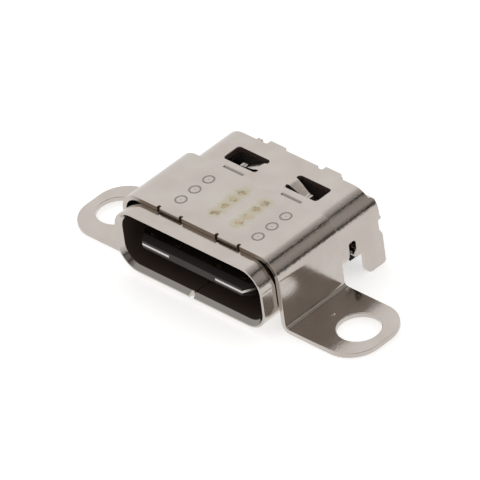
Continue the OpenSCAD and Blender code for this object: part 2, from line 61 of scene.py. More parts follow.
# Places on the part, in millimetres, as the part's source has them
CAVITY_X, CAVITY_Z, CAVITY_R = 4.17, 1.30, 0.85  # half width, half height and corner radius
MOUTH_CHAMFER = 0.2  # depth and width of the mouth's lead-in
DENT_X, DENT_Y = (1.15, 2.35), (4.88, 5.04)  # span of the two dents on top of the shell
WINDOW_Y = (5.4, 6.42)  # front and rear walls of the shell's two windows
STRAP_FRONT = 0.87  # front edge of the strap, and so of its ears
STRAP_TOP = 1.85
WELD_ROWS = (-1.96, 2.70)
WELD_MIDDLE_Y = 2.75
WELD_PITCH = 0.88
WELD_RADIUS = 0.26
WELD_SPAN_Y = (1.5, 4.0)  # clear of all the weld rings
PIP_X, PIP_Y = 5.75, 2.8
TIN_LINE = 6.4  # where the contacts' gold ends and the tin begins
EAR_UNDERSIDE = -1.90
LEG_TIP, LEG_TIP_Y = -2.30, 7.0  # lowest point of the legs, and how far back it is

# Laser marks: (first, pitch, count) across and along, and their half width
MARK_COLUMNS = (-0.06, 1.36, 2)
MARK_ROWS = (2.10, 0.56, 4)
MARK_HALF = 0.27

# Rounding of edges
MERGE_DISTANCE = 1e-7  # corners nearer than this, in metres, are one
FLAT_ANGLE = 0.4  # faces within this many degrees of each other are one flat
SQUARE_ON = 0.9995  # largest part of a normal from which a face lies along an axis
SETTLE_ANGLE = 20  # degrees by which a flat's corner may lean before it is settled
SHARP_MOUTH = 0.25  # edges nearer the mouth than this stay as drawn
KEEP_OUT = 0.2  # edges this near to a small form stay as drawn

# Depth that the grain gains half way round a bend, as a multiple of its depth on a flat
BEND_GRAIN = 3.3

# Stage, in metres. The camera has its turn round the part, height and roll in degrees, and
# its place in millimetres along its own right, up and back
FLOOR_SIZE = 6
PANEL_RADIUS, PANEL_LENGTH, PANEL_STEPS = 0.26, 1.2, 30
KEY_PLACE, KEY_SIZE = (-0.26, 0.10, 0.34), 0.32
CAMERA_TURN = (48.543, 36.629, 8.312)
CAMERA_PLACE = (2.225, 1.317, 417.187)
CAMERA_LENS = 719.97


# ---------- helpers ----------


def linear(colour):
    """Turns an sRGB hex colour into the linear RGBA that shaders take."""
    channels = [int(colour[i : i + 2], 16) / 255 for i in (1, 3, 5)]
    return [c / 12.92 if c <= 0.04045 else ((c + 0.055) / 1.055) ** 2.4 for c in channels] + [1.0]


def add(tree, kind, inputs=(), **settings):
    """Adds a node with its settings. An input that is a node or a socket is linked."""
    node = tree.nodes.new(kind)
    for name, value in settings.items():
        setattr(node, name, value)
    for key, value in inputs.items() if isinstance(inputs, dict) else enumerate(inputs):
        if isinstance(value, bpy.types.Node):
            value = value.outputs[0]
        if isinstance(value, bpy.types.NodeSocket):
            tree.links.new(value, node.inputs[key])
        else:
            node.inputs[key].default_value = value
    return node


def new_material(name):
    """A material with an empty tree, and Object coordinates in millimetres for its patterns."""
    material = bpy.data.materials.new(name)
    material.use_nodes = True
    tree = material.node_tree
    tree.nodes.clear()
    object_place = add(tree, "ShaderNodeTexCoord").outputs["Object"]
    place = add(tree, VECTOR, {0: object_place, "Scale": 1 / MM}, operation="SCALE")
    return material, tree, place


def mask(tree, *steps):
    """1 where every step is reached. A step is a value, where it counts 0 and where it counts 1."""
    share = 1.0
    for value, off, on in steps:
        reached = add(tree, RANGE, {"Value": value, "From Min": off, "From Max": on})
        share = add(tree, MATH, [share, reached], operation="MULTIPLY")
    return share


def deselect():
    bpy.ops.object.select_all(action="DESELECT")


def settle_flats(mesh):
    """Gives the corners that a flat face shares with its rounding the flat's own normal."""
    flats = {}
    for polygon in mesh.polygons:
        if max(abs(part) for part in polygon.normal) > SQUARE_ON:
            for corner in polygon.vertices:
                flats.setdefault(corner, []).append(polygon.normal.copy())
    normals = []
    for loop, corner in zip(mesh.loops, mesh.corner_normals):
        normal = corner.vector.copy()
        for flat in flats.get(loop.vertex_index, ()):
            if flat.angle(normal) < math.radians(SETTLE_ANGLE):
                normal = flat
        normals.append(normal)
    mesh.normals_split_custom_set(normals)


def rounded_copy(node, name, edge, sharp=30.0, keep_out=None):
    """A merged copy of a CAD node whose stamped or moulded edges are rounded.

    keep_out(middle) is true for edges that stay sharp, such as those of a fine groove."""
    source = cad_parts[node]
    piece = bpy.data.objects.new(name, source.data.copy())
    bpy.context.scene.collection.objects.link(piece)
    deselect()
    piece.select_set(True)
    bpy.context.view_layer.objects.active = piece
    bpy.ops.mesh.customdata_custom_splitnormals_clear()
    bpy.ops.object.mode_set(mode="EDIT")
    bpy.ops.mesh.select_all(action="SELECT")
    bpy.ops.mesh.remove_doubles(threshold=MERGE_DISTANCE)
    bpy.ops.mesh.dissolve_limited(angle_limit=math.radians(FLAT_ANGLE))
    bpy.ops.object.mode_set(mode="OBJECT")
    mesh = piece.data
    faces = {}
    for polygon in mesh.polygons:
        for key in polygon.edge_keys:
            faces.setdefault(key, []).append(polygon.normal)
    weights = mesh.attributes.new("bevel_weight_edge", "FLOAT", "EDGE")
    limit = math.radians(sharp)
    for line in mesh.edges:
        sides = faces.get(tuple(sorted(line.vertices)), [])
        a, b = (mesh.vertices[v].co for v in line.vertices)
        turns = len(sides) == 2 and sides[0].angle(sides[1], 0) > limit
        left_out = keep_out is not None and keep_out((a + b) / 2 / MM)
        weights.data[line.index].value = 1.0 if turns and not left_out else 0.0
    bevel = piece.modifiers.new("edges", "BEVEL")
    bevel.limit_method = "WEIGHT"
    bevel.width = edge * MM
    bevel.segments = 2
    bevel.use_clamp_overlap = False
    bevel.miter_outer = "MITER_SHARP"
    bpy.ops.object.modifier_apply(modifier=bevel.name)
    bpy.ops.object.shade_smooth_by_angle(angle=limit)
    flat = piece.modifiers.new("flats", "WEIGHTED_NORMAL")
    flat.keep_sharp = True
    bpy.ops.object.modifier_apply(modifier=flat.name)
    settle_flats(mesh)
    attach(piece, "root")
    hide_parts(node)
    return piece


def dress(piece, material):
    """Puts one material on a whole piece."""
    piece.data.materials.clear()
    piece.data.materials.append(material)
    for polygon in piece.data.polygons:
        polygon.material_index = 0


# ---------- settings ----------


class SheetSettings(bpy.types.PropertyGroup):
    """Finish of the stamped steel sheets."""

    edge: bpy.props.FloatProperty(
        name="Edge rounding",
        description="Radius of the stamped edges, in mm",
        default=0.045,
        min=0.005,
    )
    colour: bpy.props.StringProperty(
        name="Plating", description="Colour of the nickel plating, sRGB hex", default="#BFB6AF"
    )
    worn: bpy.props.StringProperty(
        name="Plating, paler",
        description="Colour of its paler patches, sRGB hex",
        default="#C6BFB8",
    )
    # Painted shade: the dark brown given to the tube's inside and the windows' walls, for the shade
    # they lie in
    inside: bpy.props.StringProperty(
        name="Inside",
        description="Colour of the dull skin inside the tube, sRGB hex",
        default="#54453E",
    )
    # Painted reflection and shade on the shell's chamfer, dents and finger tips; on the strap, the
    # weld marks' own grey
    weld_marks_and_shade: bpy.props.StringProperty(
        name="Burnished",
        description="Colour of the die-rubbed rim, dents and tips, sRGB hex",
        default="#8A8580",
    )
    # Painted shade and reflection: the brown grey given to the strap's front edge
    sheared: bpy.props.StringProperty(
        name="Sheared edge",
        description="Colour of the strap's bare front edge, sRGB hex",
        default="#857668",
    )
    roughness: bpy.props.FloatProperty(
        name="Roughness",
        description="Roughness of the rolled sheet",
        default=0.11,
        min=0.0,
        max=1.0,
    )
    grain: bpy.props.FloatProperty(
        name="Grain", description="Height of the pitted grain, in mm", default=0.0018, min=0.0
    )


class MarkSettings(bpy.types.PropertyGroup):
    """Marks on top of the strap."""

    ring: bpy.props.StringProperty(
        name="Weld ring", description="Colour of the spot welds' rings, sRGB hex", default="#B3ABA5"
    )
    halo: bpy.props.StringProperty(
        name="Halo", description="Straw tint round the laser marks, sRGB hex", default="#B9B298"
    )
    core: bpy.props.StringProperty(
        name="Laser specks",
        description="Colour of the laser marks' dark specks, sRGB hex",
        default="#7A6A55",
    )
    gold: bpy.props.StringProperty(
        name="Laser fill", description="Colour inside the laser marks, sRGB hex", default="#C2A47E"
    )


class MouldingSettings(bpy.types.PropertyGroup):
    """Finish of the black insulators."""

    edge: bpy.props.FloatProperty(
        name="Edge break",
        description="Radius of the housing's edges, in mm",
        default=0.02,
        min=0.005,
    )
    colour: bpy.props.StringProperty(
        name="Resin", description="Colour of the moulding resin, sRGB hex", default="#1F1714"
    )
    fleck: bpy.props.StringProperty(
        name="Glass flecks",
        description="Colour of the glass fibre at the surface, sRGB hex",
        default="#2B2724",
    )
    # Painted sheen: the paler grey given to the resin's faces square to the front
    front_sheen: bpy.props.StringProperty(
        name="Rubbed", description="Colour of faces that the plug rubs, sRGB hex", default="#3D3532"
    )
    roughness: bpy.props.FloatProperty(
        name="Roughness",
        description="Roughness of the moulded skin",
        default=0.42,
        min=0.0,
        max=1.0,
    )


class ContactSettings(bpy.types.PropertyGroup):
    """Finish of the contacts and plates."""

    gold: bpy.props.StringProperty(
        name="Gold", description="Colour of the gold flash, sRGB hex", default="#DCBE8C"
    )
    drawn: bpy.props.StringProperty(
        name="Drawing lines",
        description="Colour of the gold's drawing lines, sRGB hex",
        default="#B98B47",
    )
    tin: bpy.props.StringProperty(
        name="Tin", description="Colour of the tinned tails, sRGB hex", default="#C9C6C0"
    )
    plate: bpy.props.StringProperty(
        name="Plate", description="Colour of the bare plates, sRGB hex", default="#C4BEB9"
    )
    sheared: bpy.props.StringProperty(
        name="Plate, paler",
        description="Colour of the plates' rolling lines, sRGB hex",
        default="#D8D3CE",
    )


class StageSettings(bpy.types.PropertyGroup):
    """Floor, lamps and camera."""

    floor: bpy.props.StringProperty(
        name="Floor", description="Colour of the floor, sRGB hex", default="#F2F1EF"
    )
    lift: bpy.props.FloatProperty(
        name="Floor lift",
        description="Light added to the floor where the camera sees it",
        default=0.55,
        min=0.0,
    )
    ambient: bpy.props.FloatProperty(
        name="Ambient light",
        description="Strength of the light from all round",
        default=0.62,
        min=0.0,
    )
    key: bpy.props.FloatProperty(
        name="Key light",
        description="Power of the large soft lamp, in watts",
        default=0.12,
        min=0.0,
    )


# ---------- materials ----------


def nickel_plated_sheet(name, settings):
    """Stainless sheet, cold rolled, stamped and nickel plated.

    A warm grey metal with a satin skin: faint rolling lines along the plug's axis, slow
    patches in the plating, and a pitted grain that frays the edges of reflections. The grain
    of the real skin is about 0.02 mm wide, and it is drawn coarser so that it shows."""
    material, tree, place = new_material(name)
    along = add(tree, VECTOR, [place, (1, 0.06, 1)], operation="MULTIPLY")
    patches = add(tree, NOISE, {"Vector": place, "Scale": 0.6, "Detail": 3.0})
    lines = add(tree, NOISE, {"Vector": along, "Scale": 14.0, "Detail": 2.0})
    grain = add(tree, NOISE, {"Vector": place, "Scale": 8.0, "Detail": 1.5})
    share = add(tree, RANGE, {"Value": patches, "From Min": 0.35, "From Max": 0.65})
    plating = {SHARE: share, FIRST: linear(settings.colour), SECOND: linear(settings.worn)}
    colour = add(tree, MIX, plating, data_type="RGBA").outputs[BLEND]

    streak = add(tree, MATH, [lines, 0.12, settings.roughness - 0.06], operation="MULTIPLY_ADD")
    rough = add(tree, MATH, [patches, 0.1, streak], operation="MULTIPLY_ADD")
    height = add(tree, MATH, [lines, 0.3, grain], operation="MULTIPLY_ADD")
    # Bending opens the grain. It is deepest half way round a bend, where the normal leans
    # as far along x as along z
    facing = add(tree, "ShaderNodeNewGeometry").outputs["Normal"]
    lean_x, _, lean_z = add(tree, "ShaderNodeSeparateXYZ", [facing]).outputs
    bend = add(tree, MATH, [lean_x, lean_z], operation="MULTIPLY")
    bend = add(tree, MATH, [bend], operation="ABSOLUTE")
    depth = [bend, 2 * BEND_GRAIN * settings.grain * MM, settings.grain * MM]
    depth = add(tree, MATH, depth, operation="MULTIPLY_ADD")
    bump = add(tree, "ShaderNodeBump", {"Distance": depth, "Height": height})
    shader = add(
        tree,
        "ShaderNodeBsdfPrincipled",
        {"Base Color": colour, "Metallic": 1.0, "Roughness": rough, "Normal": bump},
    )
    add(tree, "ShaderNodeOutputMaterial", [shader])
    return material, tree, place, colour, rough, shader


def shell_finish(sheet):
    """The plated sheet, with painted shade inside the tube: a dull dark brown.

    The windows' sheared walls get the same painted shade. The rim's lower chamfer is painted a
    darker grey as a painted reflection, and the two dents on top and the fingers' tips as painted
    shade."""
    material, tree, place, colour, rough, shader = nickel_plated_sheet("nickel_plated_shell", sheet)
    across, depth, height = add(tree, "ShaderNodeSeparateXYZ", [place]).outputs
    facing = add(tree, "ShaderNodeNewGeometry").outputs["Normal"]
    facing_out, _, facing_up = add(tree, "ShaderNodeSeparateXYZ", [facing]).outputs
    # Distance from the axes of the cavity's rounded corners, with no depth in it
    section = add(tree, VECTOR, [place, (1, 0, 1)], operation="MULTIPLY")
    section = add(tree, VECTOR, [section], operation="ABSOLUTE")
    axes = (CAVITY_R - CAVITY_X, 0, CAVITY_R - CAVITY_Z)
    section = add(tree, VECTOR, [section, axes], operation="ADD")
    section = add(tree, VECTOR, [section, (0, 0, 0)], operation="MAXIMUM")
    reach = add(tree, VECTOR, [section], operation="LENGTH").outputs["Value"]

    side = add(tree, MATH, [across], operation="ABSOLUTE")
    upright = add(tree, MATH, [facing_up], operation="ABSOLUTE")
    # The fingers' raised tips lean back towards the middle, against their own side
    back = add(tree, MATH, [across, facing_out], operation="MULTIPLY")

    # The fingers dip into the cavity, but their upper faces are outside and stay bright
    finger = mask(tree, (height, 0.3, 0.5), (facing_up, 0.2, 0.4))
    # Painted shade: dark brown, dull and less metallic inside the tube and on the windows' walls
    inside = mask(
        tree,
        (reach, CAVITY_R + 0.05, CAVITY_R + 0.02),
        (depth, MOUTH_CHAMFER - 0.01, MOUTH_CHAMFER + 0.04),
        (finger, 1.0, 0.0),
    )
    window_wall = mask(
        tree,
        (upright, 0.6, 0.4),
        (height, CAVITY_Z - 0.2, CAVITY_Z - 0.1),
        (side, 3.2, 3.1),
        (depth, WINDOW_Y[0] - 0.1, WINDOW_Y[0] - 0.05),
        (depth, WINDOW_Y[1] + 0.1, WINDOW_Y[1] + 0.05),
    )
    # Painted reflection: the rim's lower chamfer, where it faces up, turns a darker grey
    chamfer = mask(
        tree,
        (reach, CAVITY_R + MOUTH_CHAMFER + 0.04, CAVITY_R + MOUTH_CHAMFER + 0.01),
        (depth, MOUTH_CHAMFER + 0.04, MOUTH_CHAMFER),
        (facing_up, 0.1, 0.4),
    )
    # Painted shade in the two dents on top
    dent = mask(
        tree,
        (side, DENT_X[0] - 0.06, DENT_X[0] + 0.06),
        (side, DENT_X[1] + 0.06, DENT_X[1] - 0.06),
        (depth, DENT_Y[0] - 0.05, DENT_Y[0] + 0.03),
        (depth, DENT_Y[1] + 0.05, DENT_Y[1] - 0.03),
        (height, CAVITY_Z + 0.1, CAVITY_Z + 0.2),
    )
    # Painted shade on the fingers' tips, on the faces that lean back towards the middle
    tip = mask(tree, (height, 0.3, 0.5), (facing_up, 0.2, 0.4), (back, -0.08, -0.16))

    inside = add(tree, MATH, [inside, window_wall], operation="MAXIMUM")
    dent = add(tree, MATH, [dent, 0.5], operation="MULTIPLY")
    tip = add(tree, MATH, [tip, 0.4], operation="MULTIPLY")
    shaded_dents_and_tips = add(tree, MATH, [dent, tip], operation="MAXIMUM")
    weld_marks_and_shade = add(tree, MATH, [chamfer, shaded_dents_and_tips], operation="MAXIMUM")
    # Paints the darker grey of the painted reflection and shade, then the painted dark brown inside
    for share, tint in ((weld_marks_and_shade, sheet.weld_marks_and_shade), (inside, sheet.inside)):
        tinted = {SHARE: share, FIRST: colour, SECOND: linear(tint)}
        colour = add(tree, MIX, tinted, data_type="RGBA").outputs[BLEND]
    tree.links.new(colour, shader.inputs["Base Color"])
    rough = add(tree, MATH, [inside, 0.3, rough], operation="MULTIPLY_ADD")
    rough = add(tree, MATH, [shaded_dents_and_tips, 0.8, rough], operation="MULTIPLY_ADD")
    tree.links.new(rough.outputs[0], shader.inputs["Roughness"])
    metal = add(tree, MATH, [inside, -0.7, 1.0], operation="MULTIPLY_ADD")
    tree.links.new(metal.outputs[0], shader.inputs["Metallic"])
    return material


def strap_finish(sheet, marks):
    """The plated sheet, with heat rings at its spot welds and two rows of scorched laser marks.

    Its front edge and the notches there are painted a brown grey: painted shade and reflection."""
    material, tree, place, colour, rough, shader = nickel_plated_sheet("nickel_plated_strap", sheet)
    x, y, z = add(tree, "ShaderNodeSeparateXYZ", [place]).outputs
    on_top = add(tree, MATH, [z, STRAP_TOP - 0.05], operation="GREATER_THAN")
    ragged = add(tree, NOISE, {"Vector": place, "Scale": 5.0, "Detail": 3.0})
    ragged = add(tree, MATH, [ragged, 0.5, -0.25], operation="MULTIPLY_ADD")

    def to_grid(across, along):
        """Distances to the nearest place of a grid: (first, pitch, count) across and along."""
        gaps = []
        for value, (first, pitch, count) in ((x, across), (y, along)):
            steps = add(tree, MATH, [value, -first], operation="ADD")
            cell = add(tree, MATH, [steps, pitch], operation="DIVIDE")
            cell = add(tree, MATH, [cell], operation="ROUND")
            cell = add(tree, MATH, [cell, 0.0], operation="MAXIMUM")
            cell = add(tree, MATH, [cell, count - 1.0], operation="MINIMUM")
            gap = add(tree, MATH, [cell, -pitch, steps], operation="MULTIPLY_ADD")
            gaps.append(add(tree, MATH, [gap], operation="ABSOLUTE"))
        return gaps

    def band(distance, middle, half, soft):
        """1 where a distance lies within half of middle, fading to 0 over soft."""
        off = add(tree, MATH, [distance, -middle], operation="ADD")
        off = add(tree, MATH, [off], operation="ABSOLUTE")
        edges = {"Value": off, "From Min": half + soft, "From Max": half}
        return add(tree, RANGE, edges, interpolation_type="SMOOTHSTEP")

    weld_columns = (WELD_ROWS[0], WELD_ROWS[1] - WELD_ROWS[0], 2)
    weld_rows = (WELD_MIDDLE_Y - WELD_PITCH, WELD_PITCH, 3)
    flat = add(tree, "ShaderNodeCombineXYZ", to_grid(weld_columns, weld_rows))
    reach = add(tree, VECTOR, [flat], operation="LENGTH").outputs["Value"]
    marks_at = add(tree, "ShaderNodeCombineXYZ", to_grid(MARK_COLUMNS, MARK_ROWS))
    outside = add(tree, VECTOR, [marks_at], operation="LENGTH").outputs["Value"]
    outside = add(tree, MATH, [outside, ragged], operation="ADD")
    heat = add(tree, NOISE, {"Vector": place, "Scale": 5.0, "Detail": 2.0})
    heat = add(tree, RANGE, {"Value": heat, "From Min": 0.42, "From Max": 0.6})
    specks = add(tree, NOISE, {"Vector": place, "Scale": 4.0, "Detail": 4.0, "Roughness": 0.7})
    specks = add(tree, RANGE, {"Value": specks, "From Min": 0.4, "From Max": 0.66})
    gold = add(tree, MATH, [band(outside, 0, 0.12, 0.12), heat], operation="MULTIPLY")
    core = add(tree, MATH, [band(outside, 0, 0.17, 0.06), specks], operation="MULTIPLY")
    weld_ring = band(reach, WELD_RADIUS, 0.02, 0.04)
    layers = (
        (weld_ring, 0.6, marks.ring),
        (band(reach, WELD_RADIUS - 0.04, 0.03, 0.06), 0.2, sheet.weld_marks_and_shade),
        (band(reach, 0, 0.03, 0.04), 0.5, sheet.weld_marks_and_shade),
        (band(outside, 0, MARK_HALF, 0.22), 0.7, marks.halo),
        (gold, 0.8, marks.gold),
        (core, 0.75, marks.core),
    )
    for share, strength, tint in layers:
        share = add(tree, MATH, [share, strength], operation="MULTIPLY")
        share = add(tree, MATH, [share, on_top], operation="MULTIPLY")
        tinted = {SHARE: share, FIRST: colour, SECOND: linear(tint)}
        colour = add(tree, MIX, tinted, data_type="RGBA").outputs[BLEND]
    rough = add(tree, MATH, [weld_ring, 0.6, rough], operation="MULTIPLY_ADD")
    tree.links.new(rough.outputs[0], shader.inputs["Roughness"])
    facing = add(tree, "ShaderNodeNewGeometry").outputs["Normal"]
    upright = add(tree, "ShaderNodeSeparateXYZ", [facing]).outputs["Z"]
    # Painted shade and reflection: the front edge and its notches turn brown grey and less metallic
    front_edge_shade = mask(
        tree,
        (add(tree, MATH, [upright], operation="ABSOLUTE"), 0.7, 0.3),
        (z, CAVITY_Z, CAVITY_Z + 0.2),
        (add(tree, MATH, [x], operation="ABSOLUTE"), CAVITY_X, CAVITY_X - 0.8),
        (y, STRAP_FRONT + 0.4, STRAP_FRONT + 0.3),
    )
    sheared = {SHARE: front_edge_shade, FIRST: colour, SECOND: linear(sheet.sheared)}
    colour = add(tree, MIX, sheared, data_type="RGBA").outputs[BLEND]
    tree.links.new(colour, shader.inputs["Base Color"])
    metal = add(tree, MATH, [weld_ring, -0.85, 1.0], operation="MULTIPLY_ADD")
    metal = add(tree, MATH, [front_edge_shade, -0.25, metal], operation="MULTIPLY_ADD")
    tree.links.new(metal.outputs[0], shader.inputs["Metallic"])
    return material


def glass_filled_resin(name, settings, roughness):
    """Black liquid crystal polymer, injection moulded and filled with glass.

    Nearly black, half matt, with flow marks and pale fibre ends in its skin. Faces square to the
    front are painted a paler grey: a painted sheen for the light they reflect."""
    material, tree, place = new_material(name)
    along = add(tree, VECTOR, [place, (1, 0.35, 1)], operation="MULTIPLY")
    fibres = add(tree, NOISE, {"Vector": along, "Scale": 16.0, "Detail": 3.0})
    flow = add(tree, NOISE, {"Vector": place, "Scale": 1.2})
    flecks = add(tree, RANGE, {"Value": fibres, "From Min": 0.6, "From Max": 0.72, "To Max": 0.5})
    resin = {SHARE: flecks, FIRST: linear(settings.colour), SECOND: linear(settings.fleck)}
    colour = add(tree, MIX, resin, data_type="RGBA").outputs[BLEND]
    facing = add(tree, "ShaderNodeNewGeometry").outputs["Normal"]
    forward = add(tree, "ShaderNodeSeparateXYZ", [facing]).outputs["Y"]
    # Painted sheen: faces square to the front turn a paler grey
    front_sheen = add(tree, RANGE, {"Value": forward, "From Min": -0.8, "From Max": -0.95})
    nose = {SHARE: front_sheen, FIRST: colour, SECOND: linear(settings.front_sheen)}
    colour = add(tree, MIX, nose, data_type="RGBA").outputs[BLEND]
    rough = add(tree, MATH, [flow, 0.3, roughness - 0.13], operation="MULTIPLY_ADD")
    bump = add(tree, "ShaderNodeBump", {"Distance": 0.003 * MM, "Height": fibres})
    shader = add(
        tree,
        "ShaderNodeBsdfPrincipled",
        {"Base Color": colour, "Roughness": rough, "Normal": bump, "Specular IOR Level": 0.2},
    )
    add(tree, "ShaderNodeOutputMaterial", [shader])
    return material


def gold_flashed_bronze(settings):
    """Phosphor bronze with a gold flash on the tongue and matt tin on the solder tails.

    A warm polished strip that turns to a dull pale grey where it leaves the housing."""
    material, tree, place = new_material("gold_flashed_bronze")
    along = add(tree, VECTOR, [place, (1, 0.06, 1)], operation="MULTIPLY")
    lines = add(tree, NOISE, {"Vector": along, "Scale": 30.0})
    depth = add(tree, "ShaderNodeSeparateXYZ", [place]).outputs["Y"]
    tail = add(tree, RANGE, {"Value": depth, "From Min": TIN_LINE, "From Max": TIN_LINE + 0.1})
    drawn = add(tree, RANGE, {"Value": lines, "From Min": 0.35, "From Max": 0.65, "To Max": 0.35})
    gold = {SHARE: drawn, FIRST: linear(settings.gold), SECOND: linear(settings.drawn)}
    gold = add(tree, MIX, gold, data_type="RGBA").outputs[BLEND]
    both = {SHARE: tail, FIRST: gold, SECOND: linear(settings.tin)}
    colour = add(tree, MIX, both, data_type="RGBA").outputs[BLEND]
    rough = add(tree, MATH, [lines, 0.2, 0.1], operation="MULTIPLY_ADD")
    rough = add(tree, MATH, [tail, 0.16, rough], operation="MULTIPLY_ADD")
    bump = add(tree, "ShaderNodeBump", {"Distance": 0.001 * MM, "Height": lines})
    shader = add(
        tree,
        "ShaderNodeBsdfPrincipled",
        {"Base Color": colour, "Metallic": 1.0, "Roughness": rough, "Normal": bump},
    )
    add(tree, "ShaderNodeOutputMaterial", [shader])
    return material


def bare_plate(settings):
    """Stainless spring strip, rolled and sheared, with no plating.

    Paler and brighter than the shell, with straight rolling lines."""
    material, tree, place = new_material("bare_stainless_strip")
    along = add(tree, VECTOR, [place, (1, 0.05, 1)], operation="MULTIPLY")
    lines = add(tree, NOISE, {"Vector": along, "Scale": 25.0})
    clouds = add(tree, NOISE, {"Vector": place, "Scale": 3.0})
    share = add(tree, RANGE, {"Value": lines, "From Min": 0.35, "From Max": 0.65})
    strip = {SHARE: share, FIRST: linear(settings.plate), SECOND: linear(settings.sheared)}
    colour = add(tree, MIX, strip, data_type="RGBA").outputs[BLEND]
    rough = add(tree, MATH, [clouds, 0.2, 0.12], operation="MULTIPLY_ADD")
    bump = add(tree, "ShaderNodeBump", {"Distance": 0.001 * MM, "Height": lines})
    shader = add(
        tree,
        "ShaderNodeBsdfPrincipled",
        {"Base Color": colour, "Metallic": 1.0, "Roughness": rough, "Normal": bump},
    )
    add(tree, "ShaderNodeOutputMaterial", [shader])
    return material


# ---------- pieces ----------


class SOCKET_OT_shell(bpy.types.Operator):
    """Round the shell's stamped edges and plate it"""

    bl_idname = "socket.shell"
    bl_label = "Shell"

    def execute(self, context):
        def fine_form(middle):
            beside_dent = DENT_X[0] - KEEP_OUT < abs(middle.x) < DENT_X[1] + KEEP_OUT
            dent = beside_dent and abs(middle.y - sum(DENT_Y) / 2) < KEEP_OUT
            return middle.y < SHARP_MOUTH or (dent and middle.z > CAVITY_Z + 0.1)

        settings = context.scene.socket_sheet
        piece = rounded_copy("shell", "shell_sheet", settings.edge, keep_out=fine_form)
        dress(piece, shell_finish(settings))
        return {"FINISHED"}


class SOCKET_OT_strap(bpy.types.Operator):
    """Round the strap's stamped edges, plate it and mark it"""

    bl_idname = "socket.strap"
    bl_label = "Strap"

    def execute(self, context):
        def fine_mark(middle):
            near_row = min(abs(middle.x - x) for x in WELD_ROWS) < WELD_RADIUS + 0.1
            in_rows = near_row and WELD_SPAN_Y[0] < middle.y < WELD_SPAN_Y[1]
            weld = in_rows and middle.z > STRAP_TOP - 0.1
            pip = max(abs(abs(middle.x) - PIP_X), abs(middle.y - PIP_Y)) < KEEP_OUT
            return weld or pip

        scene = context.scene
        piece = rounded_copy("strap", "strap_sheet", scene.socket_sheet.edge, keep_out=fine_mark)
        dress(piece, strap_finish(scene.socket_sheet, scene.socket_marks))
        return {"FINISHED"}


class SOCKET_OT_insulators(bpy.types.Operator):
    """Break the moulded edges of the housing, and give the housing and the tongue their resin"""

    bl_idname = "socket.insulators"
    bl_label = "Insulators"

    def execute(self, context):
        settings = context.scene.socket_moulding
        housing = rounded_copy("housing", "housing_moulding", settings.edge)
        matt = settings.roughness + 0.08
        dress(housing, glass_filled_resin("black_resin_housing", settings, matt))
        resin = glass_filled_resin("black_resin_tongue", settings, settings.roughness)
        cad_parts["tongue"].data.materials[0] = resin
        return {"FINISHED"}


class SOCKET_OT_plates(bpy.types.Operator):
    """Finish the mid plate and the ground plates"""

    bl_idname = "socket.plates"
    bl_label = "Plates"

    def execute(self, context):
        material = bare_plate(context.scene.socket_contacts)
        for name in ("mid_plate", "ground_plate_upper", "ground_plate_lower"):
            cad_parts[name].data.materials[0] = material
        return {"FINISHED"}


class SOCKET_OT_contacts(bpy.types.Operator):
    """Plate the contacts with gold and tin their tails"""

    bl_idname = "socket.contacts"
    bl_label = "Contacts"

    def execute(self, context):
        material = gold_flashed_bronze(context.scene.socket_contacts)
        for name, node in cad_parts.items():
            if name.startswith("contact_"):
                node.data.materials[0] = material
        return {"FINISHED"}


# ---------- stage ----------


def floor_material(settings):
    """Pale matt board, lit through from below like a light table.

    The camera sees the part's shadow on it, the metal sees it plain white, and from below it
    isn't there."""
    material, tree, _ = new_material("pale_board")
    matt = add(tree, "ShaderNodeBsdfDiffuse", {"Color": linear(settings.floor)})
    path = add(tree, "ShaderNodeLightPath").outputs
    lift = add(tree, MATH, [path["Is Camera Ray"], settings.lift], operation="MULTIPLY")
    glow = add(tree, "ShaderNodeEmission", {"Strength": lift})
    board = add(tree, "ShaderNodeAddShader", [matt, glow])
    bounced = [path["Is Glossy Ray"], path["Is Transmission Ray"]]
    mirrored = add(tree, MATH, bounced, operation="MAXIMUM")
    white = add(tree, "ShaderNodeEmission", {"Strength": 1.0})
    top = add(tree, "ShaderNodeMixShader", [mirrored, board, white])
    behind = add(tree, "ShaderNodeNewGeometry").outputs["Backfacing"]
    clear = add(tree, "ShaderNodeBsdfTransparent")
    surface = add(tree, "ShaderNodeMixShader", [behind, top, clear])
    add(tree, "ShaderNodeOutputMaterial", [surface])
    return material


# What the bends of the metal show, as the angle up from the part's right and the panel's grey
PANEL_GREYS = (
    (-25, "#FFFFFF"),
    (-17, "#EDECEB"),
    (-9, "#C4C1BE"),
    (2, "#8B8784"),
    (6, "#2A2623"),
    (9, "#2A2623"),
    (14, "#8C8883"),
    (28, "#ADA9A5"),
    (48, "#B2AEAA"),
    (63, "#96928E"),
    (67, "#26221F"),
    (71, "#26221F"),
    (75, "#96928E"),
    (88, "#BBB7B4"),
    (99, "#D3D1CF"),
    (112, "#FFFFFF"),
)


def panel_material():
    """Grey studio panels seen in the metal: two dark gaps with a dim panel between them."""
    material, tree, place = new_material("studio_panel")
    x, _, z = add(tree, "ShaderNodeSeparateXYZ", [place]).outputs
    turn = add(tree, MATH, [z, x], operation="ARCTAN2")
    first, last = (math.radians(PANEL_GREYS[i][0]) for i in (0, -1))
    share = add(tree, RANGE, {"Value": turn, "From Min": first, "From Max": last})
    ramp = add(tree, "ShaderNodeValToRGB", [share])
    points = ramp.color_ramp.elements
    while len(points) < len(PANEL_GREYS):
        points.new(0.5)
    span = PANEL_GREYS[-1][0] - PANEL_GREYS[0][0]
    for point, (angle, grey) in zip(points, PANEL_GREYS):
        point.position = (angle - PANEL_GREYS[0][0]) / span
        point.color = linear(grey)
    glow = add(tree, "ShaderNodeEmission", {"Color": ramp, "Strength": 1.0})
    add(tree, "ShaderNodeOutputMaterial", [glow])
    return material


